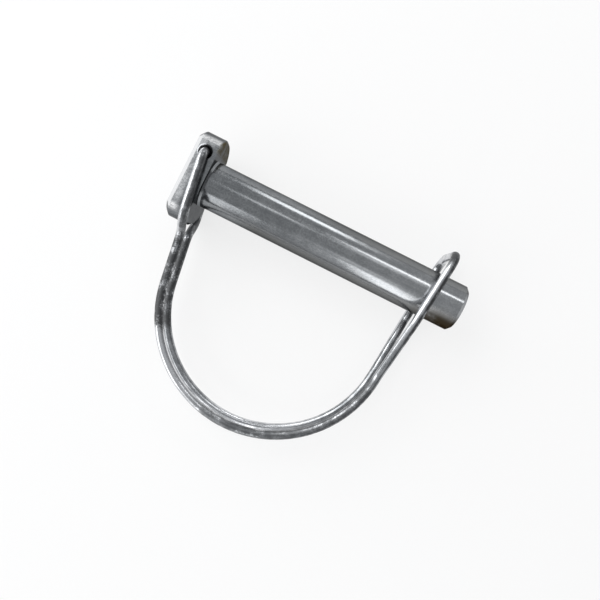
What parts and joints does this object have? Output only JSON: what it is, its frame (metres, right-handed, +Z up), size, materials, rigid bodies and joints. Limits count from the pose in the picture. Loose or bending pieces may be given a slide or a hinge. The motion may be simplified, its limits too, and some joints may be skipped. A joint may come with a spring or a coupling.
{
  "type": "wire lock pin",
  "caption": "Headed steel lock pin with a D-shaped sprung wire bail that swings on the head and snaps over the tip to keep the pin in its hole.",
  "frame": {"origin": "On the pin's axis, at the bearing face under the head.", "axes": "X runs along the pin from the head to the tip, the bail's arch hangs towards -Y, and Z is up with the pin lying on the bail's legs."},
  "size_m": [0.063, 0.053, 0.0172],
  "materials": {
    "plated_pin": "bright zinc plate over turned steel, faintly mottled",
    "plated_wire": "bright zinc plate over drawn spring wire"
  },
  "bodies": {
    "pin": {"pin_body": "plated_pin"},
    "bail": {"wire_bail": "plated_wire"}
  },
  "joints": [
    {"name": "bail_swing", "type": "hinge", "parent": "pin", "child": "bail", "pos_m": [-0.0024, 0.0048, 0], "axis": [0, 0, -1], "range_deg": [-8, 270], "deforming": ["wire_bail"]}
  ]
}
